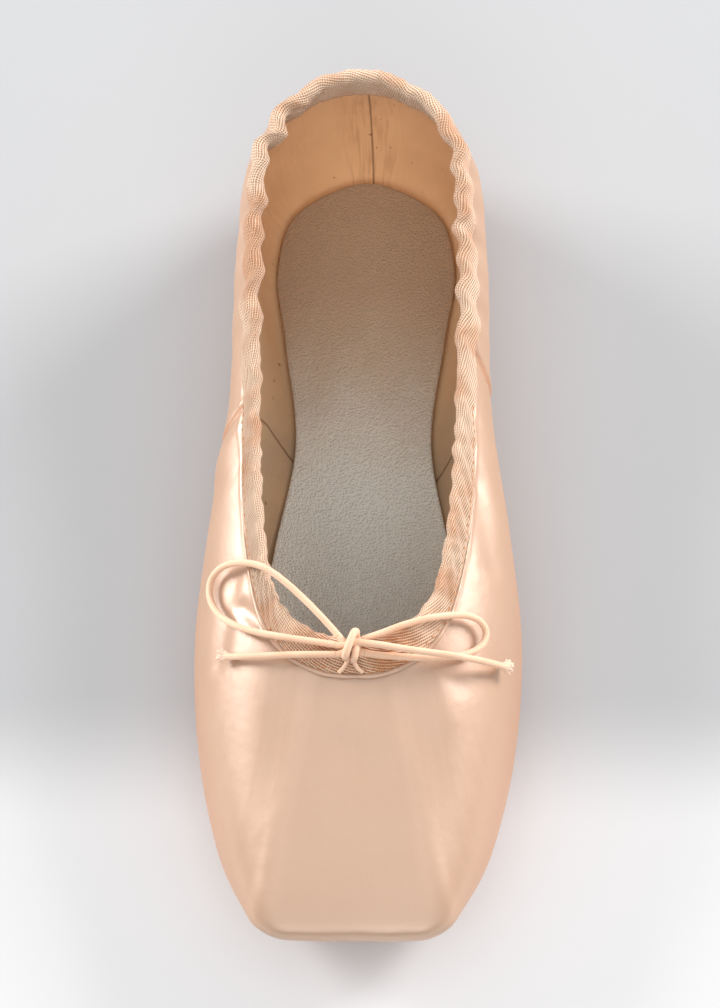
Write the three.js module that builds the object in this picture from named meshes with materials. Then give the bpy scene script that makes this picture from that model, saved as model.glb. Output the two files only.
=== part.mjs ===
// A pointe shoe made on a straight last: satin upper with a stiff box, leather outsole, insole, a folded tape
// along the topline that holds the elastic drawstring, and the drawstring's bow on the vamp.
// Millimetres, +Z up. The toe points along -Y. The origin is on the floor, under the middle of the length.

import * as THREE from 'three';

// Driving sizes

const shoeLength = 230;
const clearance = 0.3; // between pieces that lie against each other
const outsoleThick = 2.4;
const marginThick = 1.3; // satin and canvas turned in under the foot
const toplineThick = 1.3; // satin and lining where the tape holds them
const insoleUnderside = 4.8; // clear of the margin, which rises towards the feather edge
const insoleThick = 2.6;
const tapeThick = 0.8;
const tapeSlack = 0.45; // between the tape and the cloth it folds over
const tapeOutside = 7.5; // reach of the folded tape down the satin
const tapeInside = 6.5; // and down the lining
const elasticThick = 2;
const knotSize = { across: 4.6, along: 7.6, high: 4.4 };

// The last. Each table runs along one half of the shoe, from the middle of the toe, where "at" is 0,
// to the middle of the heel, where "at" is 100. "out" is measured from the centre line, "back" from the
// tip of the toe and "up" from the floor.

// The widest line round the upper, as seen from above.
const girth = table(['at', 'out', 'back', 'up'], [
  [0, 0, 0, 29],
  [4.4, 12, 0, 29],
  [7.3, 20, 0.9, 29],
  [9.4, 24.8, 4, 28],
  [11.6, 27.8, 9, 26],
  [15.5, 32.6, 18.6, 22],
  [22, 37.8, 36, 19],
  [31, 41.6, 60, 18],
  [39, 42.3, 82, 19.5],
  [48.6, 39.4, 108, 25],
  [60, 34.8, 138, 30],
  [77, 32.6, 186, 31],
  [85, 30.6, 206.5, 30],
  [92, 21.6, 222, 29],
  [100, 0, shoeLength, 28],
]);

// The topline, and how far the wall has turned over where it meets it: 90 is level, as on the vamp.
const topline = table(['at', 'out', 'back', 'up', 'turn'], [
  [0, 0, 71, 48.5, 90],
  [7.3, 7.8, 71.9, 48.4, 90],
  [11.6, 13.8, 75, 48.1, 90],
  [16, 17.8, 78.8, 47.8, 90],
  [22, 21.2, 84.5, 47, 88],
  [31, 24, 96, 45.6, 82],
  [39, 25.6, 109, 44.4, 74],
  [48.6, 26.8, 126, 43.2, 64],
  [60, 27.4, 146, 42.9, 56],
  [77, 27.4, 188, 50.2, 50],
  [85, 25.6, 206, 55, 50],
  [92, 16.6, 219.2, 57.6, 50],
  [100, 0, 225.4, 58.6, 50],
]);

// The inner edge of the cloth that is turned in under the foot.
const margin = table(['at', 'out', 'back'], [
  [0, 0, 36],
  [9.4, 13.5, 41],
  [15.5, 17.5, 51],
  [31, 19, 74],
  [48.6, 12.5, 113],
  [60, 8.8, 139],
  [77, 12.3, 184],
  [88, 9.5, 199.5],
  [100, 0, 204.5],
]);

// The wall's section: height of the feather edge, how far it tucks in under the girth, how far the shoulder
// leans in above it, the shoulder's height, how squared the lower and upper corners are, and the thickness,
// which grows from satin and canvas at the heel to the pasted layers of the box and platform.
const wall = table(['at', 'feather', 'tuck', 'lean', 'shoulder', 'lowerSquare', 'upperSquare', 'thick'], [
  [0, 5, 7, 0.5, 34.5, 6, 5, 6],
  [7.3, 5, 6.8, 1, 34.3, 6, 4.6, 5.5],
  [11.6, 4.7, 5.6, 3.2, 34.6, 6, 4, 4.2],
  [22, 3.6, 5.5, 6.4, 38, 6, 3.6, 3.2],
  [31, 3.2, 6.5, 6.4, 40.5, 6, 3.2, 2.8],
  [48.6, 3.1, 11, 3, 40.5, 6.5, 2.6, 1.9],
  [60, 3, 12.6, 1.5, 41, 7, 2.4, 1.5],
  [77, 3, 4.5, 1, 48.5, 7, 2.2, 1.5],
  [100, 3, 6.2, 1, 57, 7, 2.2, 1.5],
]);
// How fast the wall comes out from the sole to the girth: 1 is a straight flare.
const flare = 1.35;

const insoleOutline = table(['at', 'out', 'back'], [
  [0, 0, 21],
  [6, 13.2, 22.8],
  [12, 21, 30],
  [20, 26, 47.5],
  [32, 28.2, 74],
  [48, 23.2, 111],
  [61, 18.2, 141],
  [74, 21.7, 171],
  [84, 24.1, 193],
  [93, 17.6, 210],
  [100, 0, 217.8],
]);

const outsoleOutline = table(['at', 'out', 'back'], [
  [0, 0, 27],
  [7, 13.5, 29.5],
  [14, 20.6, 39],
  [24, 24.6, 60],
  [35, 24.4, 84],
  [50, 17.6, 114],
  [62, 13.2, 142],
  [74, 15.6, 169],
  [85, 18, 192],
  [93, 13, 205],
  [100, 0, 211.5],
]);

// Where the solids are cut into facets, along the outline and up the wall.
const outlineRuns = [
  { to: 7, steps: 3 },
  { to: 14, steps: 6 },
  { to: 85, steps: 26 },
  { to: 100, steps: 7 },
];
const lowerStops = [0, 0.5, 0.8, 0.93, 1, 1.07, 1.2, 1.5, 2];
const upperStops = [0.25, 0.5, 0.75, 0.9, 1, 1.15, 1.4, 1.7, 2];
const soleSteps = 28; // along a sole, closer together towards both its ends

// The drawstring's bow, as routes of [x, y, z] that start at the knot.
const knotPlace = [-0.6, -45, 52.2];
const loopRoutes = {
  left: [
    [-3.3, -42.8, 51.6], [-6.7, -38.8, 51.4], [-11.5, -33.5, 50.9], [-17.8, -27.3, 49.8], [-23.4, -23.3, 48.9],
    [-29.2, -21.1, 45.6], [-34.2, -20.8, 41.1], [-37.2, -23.4, 38], [-37.2, -28.4, 38.1], [-34.3, -33.8, 41],
    [-29.2, -38, 44.9], [-23.6, -40.6, 47.9], [-16.4, -42.5, 49.8], [-10, -43.8, 50.9], [-4, -44.9, 51.4],
  ],
  right: [
    [2.3, -43.6, 51.6], [7.1, -41.8, 51.3], [13.1, -39.4, 51.1], [19.5, -37.3, 50.1], [25.3, -35.7, 47.4],
    [29.2, -35.2, 45.1], [32, -36, 43.1], [33.4, -38.2, 41.9], [32.9, -41, 42.1], [30.9, -43.6, 43.4],
    [27.6, -45.5, 45.1], [22.8, -46.7, 47.2], [16, -47.4, 49], [9, -47.4, 50.2], [2.9, -46.9, 50.8],
  ],
};
const tailRoutes = {
  left: [
    [-3.9, -47.3, 51.1], [-8.5, -47.2, 50.8], [-14.8, -46.9, 49.6], [-20.8, -46.6, 47.9], [-26.7, -46, 45.5],
    [-31, -45.3, 42.9], [-34.3, -44.2, 40.2],
  ],
  right: [
    [2.9, -44.9, 53.2], [7.1, -45.4, 53.1], [13.2, -46.2, 52.4], [19.5, -46.8, 51.3], [25, -47, 49.6],
    [29.6, -47, 46.9], [33.6, -46.7, 43.2], [36.8, -46.2, 38.9], [39.4, -45.6, 34.6],
  ],
};

// A table's columns at any place, on a smooth curve through its rows. The other half of the shoe continues
// it past both ends, so "out" changes sign there and every other column is level.
function table(columns, rows) {
  const end = rows.length - 1;
  const rowAt = (index) => {
    if (index >= 0 && index <= end) {
      return rows[index];
    }
    const twin = index < 0 ? -index : 2 * end - index;
    const place = index < 0 ? -rows[twin][0] : 2 * rows[end][0] - rows[twin][0];
    return rows[twin].map((value, column) => {
      const flipped = columns[column] === 'out' ? -value : value;
      return column === 0 ? place : flipped;
    });
  };
  const slope = (index, column) => {
    const [before, here, after] = [rowAt(index - 1), rowAt(index), rowAt(index + 1)];
    const rise = (here[column] - before[column]) / (here[0] - before[0]);
    const nextRise = (after[column] - here[column]) / (after[0] - here[0]);
    return ((after[0] - here[0]) * rise + (here[0] - before[0]) * nextRise) / (after[0] - before[0]);
  };
  return (at) => {
    let first = 0;
    while (first < end - 1 && rows[first + 1][0] <= at) {
      first += 1;
    }
    const [start, stop] = [rows[first], rows[first + 1]];
    const span = stop[0] - start[0];
    const t = (at - start[0]) / span;
    const curve = (column) => (2 * t ** 3 - 3 * t ** 2 + 1) * start[column]
      + (t ** 3 - 2 * t ** 2 + t) * span * slope(first, column)
      + (3 * t ** 2 - 2 * t ** 3) * stop[column]
      + (t ** 3 - t ** 2) * span * slope(first + 1, column);
    return Object.fromEntries(columns.map((name, column) => [name, column === 0 ? at : curve(column)]));
  };
}

const point = ({ out, back, up = 0 }) => new THREE.Vector3(out, back - shoeLength / 2, up);

// The direction of a table's curve, as a unit vector.
function heading(curve, at) {
  const step = 0.05;
  const before = point(curve(Math.max(at - step, 0)));
  const after = point(curve(Math.min(at + step, 100)));
  return after.sub(before).normalize();
}

// The level direction into the shoe from a table's curve.
function inward(curve, at) {
  const along = heading(curve, at);
  return new THREE.Vector3(-along.y, along.x, 0).normalize();
}

// A squared-off quarter arc: t is 0 at the start of its first leg, 1 at the corner and 2 at the end of its
// second leg. It gives how far it has gone along each leg.
function squaredArc(t, square) {
  const corner = 0.5 ** (1 / square);
  if (t <= 1) {
    const first = t * corner;
    return [first, 1 - (1 - first ** square) ** (1 / square)];
  }
  const left = (2 - t) * corner;
  return [(1 - left ** square) ** (1 / square), 1 - left];
}

// What one rib of the wall is drawn from, on its outside or its inside.
function ribFrame(at, inside) {
  const frame = {
    ...wall(at),
    into: inward(girth, at),
    side: point(girth(at)),
    top: point(topline(at)),
    turn: topline(at).turn,
    foot: point(margin(at)),
    footUp: outsoleThick + clearance,
  };
  if (inside) {
    frame.top = toplineInside(at);
    frame.side.addScaledVector(frame.into, frame.thick);
    frame.footUp += marginThick;
    frame.feather += marginThick;
    frame.shoulder -= frame.thick;
  }
  return frame;
}

// From the turned-in edge, out along the underside and round the feather edge, up to the girth.
function lowerRib(frame, t) {
  const [across, rise] = squaredArc(t, frame.lowerSquare);
  const place = frame.foot.clone().lerp(frame.side, across);
  place.addScaledVector(frame.into, frame.tuck * across * (1 - rise) ** flare);
  place.z = frame.footUp + (frame.feather - frame.footUp) * across + (frame.side.z - frame.feather) * rise;
  return place;
}

// From the girth up over the shoulder to the topline, stopping where the wall has turned far enough.
function upperRib(frame, t) {
  const corner = 0.5 ** (1 / frame.upperSquare);
  const level = Math.max(Math.cos(THREE.MathUtils.degToRad(frame.turn)), 0);
  const end = 2 - level ** (2 / frame.upperSquare) / corner;
  const [fullRise, fullAcross] = squaredArc(end, frame.upperSquare);
  const [partRise, partAcross] = squaredArc(t * end / 2, frame.upperSquare);
  const rise = partRise / fullRise;
  const across = partAcross / fullAcross;
  const place = frame.side.clone().lerp(frame.top, across);
  place.addScaledVector(frame.into, frame.lean * rise ** 1.5 * (1 - across));
  place.z = frame.side.z + (frame.shoulder - frame.side.z) * rise + (frame.top.z - frame.shoulder) * across;
  return place;
}

// The wall's directions at a place on a rib near the topline: up the rib, and square out of the wall.
function wallDirections(at, frame, t) {
  const step = 0.03;
  const rising = upperRib(frame, Math.min(t + step, 2)).sub(upperRib(frame, t - step)).normalize();
  const outward = heading(topline, at).cross(rising).normalize();
  return { rising, outward };
}

function toplineInside(at) {
  const { outward } = wallDirections(at, ribFrame(at, false), 2);
  return point(topline(at)).addScaledVector(outward, -toplineThick);
}

function wholeRib(at, inside) {
  const frame = ribFrame(at, inside);
  return [
    ...lowerStops.map((t) => lowerRib(frame, t)),
    ...upperStops.map((t) => upperRib(frame, t)),
  ];
}

// Where on a rib a given length below the topline has been covered.
function belowTopline(frame, length) {
  const step = 0.01;
  let t = 2;
  let covered = 0;
  while (covered < length && t > step) {
    covered += upperRib(frame, t).distanceTo(upperRib(frame, t - step));
    t -= step;
  }
  return t;
}

// Every place along one half of the outline where there is a column of facets.
function outlineStops() {
  const stops = [0];
  for (const { to, steps } of outlineRuns) {
    const from = stops[stops.length - 1];
    for (let step = 1; step <= steps; step += 1) {
      stops.push(from + (to - from) * step / steps);
    }
  }
  return stops;
}

// Columns for the whole shoe from those of one half.
function bothHalves(half) {
  const mirrored = half.slice(1, -1).map((column) => column.map(({ x, y, z }) => new THREE.Vector3(-x, y, z)));
  return [...half, ...mirrored.reverse()];
}

function solidGeometry(points, faces) {
  const geometry = new THREE.BufferGeometry();
  const places = points.flatMap(({ x, y, z }) => [x, y, z]);
  geometry.setAttribute('position', new THREE.Float32BufferAttribute(places, 3));
  geometry.setIndex(faces.flat());
  const flat = geometry.toNonIndexed();
  flat.computeVertexNormals();
  return flat;
}

const quad = (a, b, c, d) => [[a, c, b], [a, d, c]];

// A closed ring: each column is a closed section, and the last column meets the first.
function ringSolid(columns) {
  const length = columns[0].length;
  const faces = [];
  columns.forEach((column, index) => {
    const here = index * length;
    const next = ((index + 1) % columns.length) * length;
    for (let low = 0; low < length; low += 1) {
      const high = (low + 1) % length;
      faces.push(...quad(here + low, here + high, next + high, next + low));
    }
  });
  return solidGeometry(columns.flat(), faces);
}

// A flat piece cut to an outline. Each level is { inset, up }, from its underside to its top.
function slabSolid(outline, levels, toeLift) {
  const stops = Array.from({ length: soleSteps + 1 }, (_, step) => 50 - 50 * Math.cos(Math.PI * step / soleSteps));
  const half = stops.map((at) => levels.map(({ inset, up }) => {
    const place = point(outline(at)).addScaledVector(inward(outline, at), inset);
    place.z = up + toeLift(place.y + shoeLength / 2);
    return place;
  }));
  const columns = bothHalves(half);
  const tall = levels.length;
  const faces = [];
  columns.forEach((column, index) => {
    const here = index * tall;
    const next = ((index + 1) % columns.length) * tall;
    for (let low = 0; low < tall - 1; low += 1) {
      faces.push(...quad(here + low, here + low + 1, next + low + 1, next + low));
    }
  });
  const twin = (index) => (columns.length - index) % columns.length;
  for (let index = 0; index < soleSteps; index += 1) {
    const corners = [index, index + 1, twin(index + 1), twin(index)];
    const under = quad(...corners.map((corner) => corner * tall));
    const over = quad(...corners.reverse().map((corner) => corner * tall + tall - 1));
    faces.push(...[...under, ...over].filter((face) => new Set(face).size === 3));
  }
  return solidGeometry(columns.flat(), faces);
}

// A plain round cord along its route.
function cordSolid(route) {
  const sides = 8;
  const section = new THREE.Shape(Array.from({ length: sides }, (_, side) => {
    const turn = 2 * Math.PI * side / sides;
    return new THREE.Vector2(Math.cos(turn), Math.sin(turn)).multiplyScalar(elasticThick / 2);
  }));
  const path = new THREE.CatmullRomCurve3(route.map((place) => new THREE.Vector3(...place)));
  const steps = Math.round(path.getLength() / (2.4 * elasticThick));
  return new THREE.ExtrudeGeometry(section, { steps, extrudePath: path });
}

// The satin upper: outside and inside walls, open at the topline and under the foot.
function upper() {
  const half = outlineStops().map((at) => [...wholeRib(at, false), ...wholeRib(at, true).reverse()]);
  return ringSolid(bothHalves(half));
}

// The tape, folded over the topline as a channel.
function binding() {
  const outsideReach = [tapeOutside, tapeOutside / 2, 0];
  const insideReach = [0, tapeInside / 2, tapeInside];
  const half = outlineStops().map((at) => {
    const satin = ribFrame(at, false);
    const lining = ribFrame(at, true);
    const { rising } = wallDirections(at, satin, 2);
    const onWall = (frame, reach, proud) => {
      const t = belowTopline(frame, reach);
      return upperRib(frame, t).addScaledVector(wallDirections(at, frame, t).outward, proud);
    };
    const onSatin = (reach, proud) => onWall(satin, reach, proud);
    const onLining = (reach, proud) => onWall(lining, reach, -proud);
    const proud = tapeSlack + tapeThick;
    return [
      ...outsideReach.map((reach) => onSatin(reach, proud)),
      onSatin(0, tapeSlack).addScaledVector(rising, proud),
      onLining(0, tapeSlack).addScaledVector(rising, proud),
      ...insideReach.map((reach) => onLining(reach, proud)),
      ...insideReach.slice(1).reverse().map((reach) => onLining(reach, tapeSlack)),
      onLining(0, tapeSlack).addScaledVector(rising, tapeSlack),
      onSatin(0, tapeSlack).addScaledVector(rising, tapeSlack),
      ...outsideReach.slice(0, -1).reverse().map((reach) => onSatin(reach, tapeSlack)),
    ];
  });
  return ringSolid(bothHalves(half));
}

// The insole board lifts a little inside the tip of the toe.
function insole() {
  const liftStart = 60;
  const skive = 1.1;
  const toeLift = (back) => 2.6 * Math.max((liftStart - back) / liftStart, 0) ** 1.5;
  const topUp = insoleUnderside + insoleThick;
  return slabSolid(insoleOutline, [
    { inset: 2 * skive, up: insoleUnderside },
    { inset: 0, up: insoleUnderside + skive },
    { inset: 0, up: topUp - 0.5 },
    { inset: 0.6, up: topUp },
  ], toeLift);
}

function outsole() {
  const bevel = 0.5;
  return slabSolid(outsoleOutline, [
    { inset: bevel, up: 0 },
    { inset: 0, up: bevel },
    { inset: 0, up: outsoleThick - bevel },
    { inset: bevel, up: outsoleThick },
  ], () => 0);
}

function knot() {
  const geometry = new THREE.SphereGeometry(0.5, 12, 8);
  geometry.scale(knotSize.across, knotSize.along, knotSize.high);
  return geometry;
}

const satinFinish = { color: '#dfb999', roughness: 0.45, metalness: 0 };
const leatherFinish = { color: '#c9a987', roughness: 0.75, metalness: 0 };
const insoleFinish = { color: '#b3a48c', roughness: 0.9, metalness: 0 };
const tapeFinish = { color: '#ecd2b6', roughness: 0.85, metalness: 0 };
const elasticFinish = { color: '#eccdb0', roughness: 0.8, metalness: 0 };

const shoe = new THREE.Group();

function add(name, geometry, finish, place = [0, 0, 0]) {
  const mesh = new THREE.Mesh(geometry, new THREE.MeshStandardMaterial(finish));
  mesh.name = name;
  mesh.position.set(...place);
  shoe.add(mesh);
}

add('upper', upper(), satinFinish);
add('outsole', outsole(), leatherFinish);
add('insole', insole(), insoleFinish);
add('binding', binding(), tapeFinish);
add('drawstring_knot', knot(), elasticFinish, knotPlace);
for (const [side, route] of Object.entries(loopRoutes)) {
  add(`drawstring_loop_${side}`, cordSolid(route), elasticFinish);
}
for (const [side, route] of Object.entries(tailRoutes)) {
  add(`drawstring_tail_${side}`, cordSolid(route), elasticFinish);
}

export default shoe;
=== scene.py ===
import math

import bpy
import numpy as np
from mathutils import Matrix, Vector


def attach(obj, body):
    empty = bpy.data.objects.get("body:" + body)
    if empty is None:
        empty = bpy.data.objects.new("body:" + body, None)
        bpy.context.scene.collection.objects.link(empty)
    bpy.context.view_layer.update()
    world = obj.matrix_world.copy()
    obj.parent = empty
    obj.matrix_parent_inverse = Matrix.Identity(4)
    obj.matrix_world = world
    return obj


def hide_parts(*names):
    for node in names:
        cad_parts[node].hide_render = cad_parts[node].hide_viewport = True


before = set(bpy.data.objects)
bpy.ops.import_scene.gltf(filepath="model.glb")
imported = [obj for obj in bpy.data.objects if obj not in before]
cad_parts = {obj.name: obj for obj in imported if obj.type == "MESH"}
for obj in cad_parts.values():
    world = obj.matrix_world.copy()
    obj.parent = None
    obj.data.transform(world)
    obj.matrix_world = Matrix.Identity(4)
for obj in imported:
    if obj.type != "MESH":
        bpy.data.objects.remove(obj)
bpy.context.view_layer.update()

# A pointe shoe around its CAD frame. Working unit in this script is the millimetre:
# x across, y from toe (-115) to heel (+115), z up from the floor. mm turns it into Blender's metres.
mm = 0.001
fullTurn = 2 * math.pi
toeEnd = -115.0  # y of the toe, where every "back" distance below starts


# camera

cameraView = {
    "at": (42.9, -337.9, 959.7),  # where the lens is
    "elevation": 70.0,  # degrees above the floor
    "turn": 2.46,  # degrees to the left, which brings the one shoe to the middle
    "lens": 136.0,
}


def placeCamera(view):
    data = bpy.data.cameras.new("shoe_camera")
    data.lens = view["lens"]
    data.clip_start = 0.05
    data.clip_end = 20.0
    camera = bpy.data.objects.new("shoe_camera", data)
    bpy.context.scene.collection.objects.link(camera)
    tilt = Matrix.Rotation(math.radians(90.0 - view["elevation"]), 4, "X")
    turn = Matrix.Rotation(math.radians(view["turn"]), 4, "Y")
    camera.matrix_world = Matrix.Translation(Vector(view["at"]) * mm) @ tilt @ turn
    bpy.context.scene.camera = camera


placeCamera(cameraView)
print("camera placed")


# small tools for nodes

def colour(red, green, blue):
    # screen colour 0-255 to Blender's linear colour
    linear = [((c / 255 + 0.055) / 1.055) ** 2.4 if c > 10 else c / 255 / 12.92 for c in (red, green, blue)]
    return (*linear, 1.0)


def newFinish(name):
    finish = bpy.data.materials.new(name)
    finish.use_nodes = True
    finish.node_tree.nodes.clear()
    return finish


def addNode(finish, kind, inputs, **settings):
    # inputs by name or number: a socket is linked to, anything else is the value
    made = finish.node_tree.nodes.new("ShaderNode" + kind)
    for name, value in settings.items():
        setattr(made, name, value)
    for name, value in inputs.items():
        if isinstance(value, bpy.types.NodeSocket):
            finish.node_tree.links.new(value, made.inputs[name])
        else:
            made.inputs[name].default_value = value
    return made


def calc(finish, operation, *values):
    return addNode(finish, "Math", dict(enumerate(values)), operation=operation).outputs[0]


def times(finish, first, second):
    return calc(finish, "MULTIPLY", first, second)


def timesPlus(finish, first, second, added):
    return calc(finish, "MULTIPLY_ADD", first, second, added)


def less(finish, first, second):
    return calc(finish, "SUBTRACT", first, second)


def mixed(finish, amount, first, second):
    # the first colour at 0, the second at 1
    inputs = {"Factor": amount, 6: first, 7: second}
    return addNode(finish, "Mix", inputs, data_type="RGBA").outputs[2]


def ramp(finish, value, low, high, start=0.0, end=1.0):
    # a smooth step, from start where the value is low to end where it is high
    inputs = {"Value": value, "From Min": low, "From Max": high, "To Min": start, "To Max": end}
    return addNode(finish, "MapRange", inputs, interpolation_type="SMOOTHSTEP").outputs[0]


def speckle(finish, scale, detail=2.0, stretch=(1, 1, 1), vector=None, rough=0.5):
    # noise in the object's own metres; scale is bumps to a metre
    place = vector or addNode(finish, "TexCoord", {}).outputs["Object"]
    mapped = addNode(finish, "Mapping", {"Vector": place, "Scale": stretch}).outputs[0]
    inputs = {"Vector": mapped, "Scale": scale, "Detail": detail, "Roughness": rough}
    return addNode(finish, "TexNoise", inputs).outputs["Fac"]


def ownAxis(finish, axis):
    # x, y or z of the object's own place, in metres
    place = addNode(finish, "TexCoord", {}).outputs["Object"]
    return addNode(finish, "SeparateXYZ", {"Vector": place}).outputs[axis]


def clothPlace(finish):
    # x runs along the piece and y across it, both in metres
    place = addNode(finish, "UVMap", {}, uv_map="cloth").outputs[0]
    split = addNode(finish, "SeparateXYZ", {"Vector": place})
    return place, split.outputs[0], split.outputs[1]


def measure(finish, name):
    # a distance in millimetres that the mesh holds at each point
    return addNode(finish, "Attribute", {}, attribute_name=name).outputs["Fac"]


def nearSeam(finish, name, inner, outer, most=1.0):
    # most within inner of a seam, nothing beyond outer
    away = calc(finish, "ABSOLUTE", measure(finish, name))
    return ramp(finish, away, inner, outer, most, 0)


def wave(finish, along, across, alongPitch, acrossPitch):
    # 0-1 ribs that run at a slant: one rib each alongPitch, or each acrossPitch the other way (metres)
    first = times(finish, along, fullTurn / alongPitch)
    slanted = timesPlus(finish, across, fullTurn / acrossPitch, first)
    return timesPlus(finish, calc(finish, "SINE", slanted), 0.5, 0.5)


def bump(finish, height, distance, strength=1.0, after=None):
    inputs = {"Height": height, "Distance": distance, "Strength": strength}
    if after:
        inputs["Normal"] = after
    return addNode(finish, "Bump", inputs).outputs[0]


def surface(finish, tint, rough, inputs):
    shader = addNode(finish, "BsdfPrincipled", {"Base Color": tint, "Roughness": rough, **inputs})
    addNode(finish, "OutputMaterial", {"Surface": shader.outputs[0]})
    return finish


# small tools for meshes

def oneSide(around):
    # places 0-200 round the whole shoe, as places 0-100 of the half that the tables hold
    return np.where(around > 100, 200 - around, around)


def sideOf(around):
    return np.where(around > 100, -1.0, 1.0)


def unit(vectors, least=0.0):
    return vectors / np.maximum(np.linalg.norm(vectors, axis=-1, keepdims=True), least)


def running(points):
    # how far along a line each of its points is
    return np.concatenate([[0], np.cumsum(np.linalg.norm(np.diff(points, axis=0), axis=1))])


def pointsAt(places, travelled, points):
    return np.stack([np.interp(places, travelled, points[:, k]) for k in range(3)], 1)


def hump(values, centre, width):
    # 1 at the centre, and fades out on both sides
    return np.exp(-(((values - centre) / width) ** 2))


def share(values, start, end):
    # 0 before the start and 1 past the end; the start may be the greater
    return np.clip((values - start) / (end - start), 0, 1)


def stepUp(values, width):
    # from 0 to 1 as the values go up through nothing
    return 1 / (1 + np.exp(-np.clip(values / width, -40, 40)))


def hermite(t, start, leave, end, arrive):
    # a smooth curve from start to end, with the slopes it leaves and arrives with
    return ((2 * t**3 - 3 * t**2 + 1) * start + (t**3 - 2 * t**2 + t) * leave
            + (3 * t**2 - 2 * t**3) * end + (t**3 - t**2) * arrive)


def makeObject(name, points, faces, finish, uv=None, measures=None):
    mesh = bpy.data.meshes.new(name)
    mesh.from_pydata((np.asarray(points) * mm).tolist(), [], faces)
    mesh.polygons.foreach_set("use_smooth", [True] * len(mesh.polygons))
    if uv is not None:
        layer = mesh.uv_layers.new(name="cloth")
        layer.data.foreach_set("uv", (np.asarray(uv, float) * mm).ravel())
    for key, values in (measures or {}).items():
        mesh.attributes.new(key, "FLOAT", "POINT").data.foreach_set("value", np.ravel(values))
    mesh.materials.append(finish)
    mesh.validate()
    made = bpy.data.objects.new(name, mesh)
    bpy.context.scene.collection.objects.link(made)
    return made


def gridFaces(rows, columns, start=0, flip=False):
    # the faces of a grid whose last row meets its first
    faces = []
    for i in range(rows):
        near = start + i * columns
        far = start + (i + 1) % rows * columns
        for j in range(columns - 1):
            face = (near + j, far + j, far + j + 1, near + j + 1)
            faces.append(face[::-1] if flip else face)
    return faces


def gridUv(along, across):
    # one pair for each face corner, so that the seam of a closed grid doesn't smear
    pairs = np.stack([along, across], -1)
    near, far = pairs[:-1], pairs[1:]
    corners = [near[:, :-1], far[:, :-1], far[:, 1:], near[:, 1:]]
    return np.stack(corners, 2).reshape(-1, 2)


def lengths(points, axis):
    # running length along an axis of a grid of points
    steps = np.linalg.norm(np.diff(points, axis=axis), axis=-1)
    start = np.zeros_like(np.take(steps, [0], axis=axis))
    return np.concatenate([start, np.cumsum(steps, axis=axis)], axis=axis)


def normalsOf(points):
    along = np.roll(points, -1, 0) - np.roll(points, 1, 0)
    across = np.gradient(points, axis=1)
    return unit(np.cross(along, across), 1e-9)


def turnedUv(uv):
    # for faces that are turned over
    return uv.reshape(-1, 4, 2)[:, ::-1].reshape(-1, 2)


def sheetObject(name, outer, inner, finish, measures):
    # a closed ring of cloth with an outer and an inner skin, joined along both edges
    rows, columns = outer.shape[:2]
    count = rows * columns
    faces = gridFaces(rows, columns) + gridFaces(rows, columns, count, True)
    around = lengths(np.concatenate([outer, outer[:1]]), 0).mean(1, keepdims=True)
    along = np.repeat(around, columns, 1)
    across = lengths(outer, 1)
    across = np.concatenate([across, across[:1]])
    skin = gridUv(along, across)
    edges = []
    edgeUv = []
    for j, flip in ((0, True), (columns - 1, False)):
        for i in range(rows):
            near = i * columns + j
            far = (i + 1) % rows * columns + j
            face = (near, far, far + count, near + count)
            edges.append(face[::-1] if flip else face)
            pair = [(along[i, j], across[i, j]), (along[i + 1, j], across[i + 1, j])]
            corners = [pair[0], pair[1], pair[1], pair[0]]
            edgeUv += corners[::-1] if flip else corners
    points = np.concatenate([outer.reshape(-1, 3), inner.reshape(-1, 3)])
    uv = np.concatenate([skin, turnedUv(skin), edgeUv])
    doubled = {key: np.concatenate([np.ravel(v), np.ravel(v)]) for key, v in measures.items()}
    return makeObject(name, points, faces + edges, finish, uv, doubled)


def smoothPath(points, step):
    # a Catmull-Rom line through the points, cut into even steps
    points = np.asarray(points, float)
    ends = np.concatenate([[2 * points[0] - points[1]], points, [2 * points[-1] - points[-2]]])
    line = []
    for i in range(len(points) - 1):
        a, b, c, d = ends[i : i + 4]
        for t in np.linspace(0, 1, 12, endpoint=False):
            line.append(0.5 * (2 * b + (c - a) * t + (2 * a - 5 * b + 4 * c - d) * t**2
                               + (3 * b - a - 3 * c + d) * t**3))
    line.append(points[-1])
    line = np.array(line)
    travelled = running(line)
    count = max(int(travelled[-1] / step), 3)
    even = np.linspace(0, travelled[-1], count + 1)
    return pointsAt(even, travelled, line), even


def tubeMesh(path, radius, sides=18, flat=1.0):
    # points, faces and cloth places of a tube; radius may be one number or one for each point
    tangent = unit(np.gradient(path, axis=0))
    side = unit(np.cross(tangent, (0, 0, 1.0)), 1e-6)
    top = np.cross(side, tangent)
    angle = np.linspace(0, fullTurn, sides, endpoint=False)
    size = np.broadcast_to(np.asarray(radius, float), (len(path),))[:, None, None]
    ring = side[:, None] * np.cos(angle)[None, :, None] + top[:, None] * np.sin(angle)[None, :, None] * flat
    grid = path[:, None] + ring * size
    points = np.concatenate([grid.reshape(-1, 3), path[:1], path[-1:]])
    faces = []
    uv = []
    travelled = running(path)
    around = np.arange(sides + 1) * fullTurn / sides
    for i in range(len(path) - 1):
        for k in range(sides):
            after = (k + 1) % sides
            faces.append((i * sides + k, i * sides + after, (i + 1) * sides + after, (i + 1) * sides + k))
            uv += [(travelled[i], around[k]), (travelled[i], around[k + 1]),
                   (travelled[i + 1], around[k + 1]), (travelled[i + 1], around[k])]
    first = len(path) * sides
    last = (len(path) - 1) * sides
    for k in range(sides):
        after = (k + 1) % sides
        faces.append((after, k, first))
        faces.append((last + k, last + after, first + 1))
        uv += [(0, around[k])] * 3 + [(travelled[-1], around[k])] * 3
    return points, faces, uv


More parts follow.
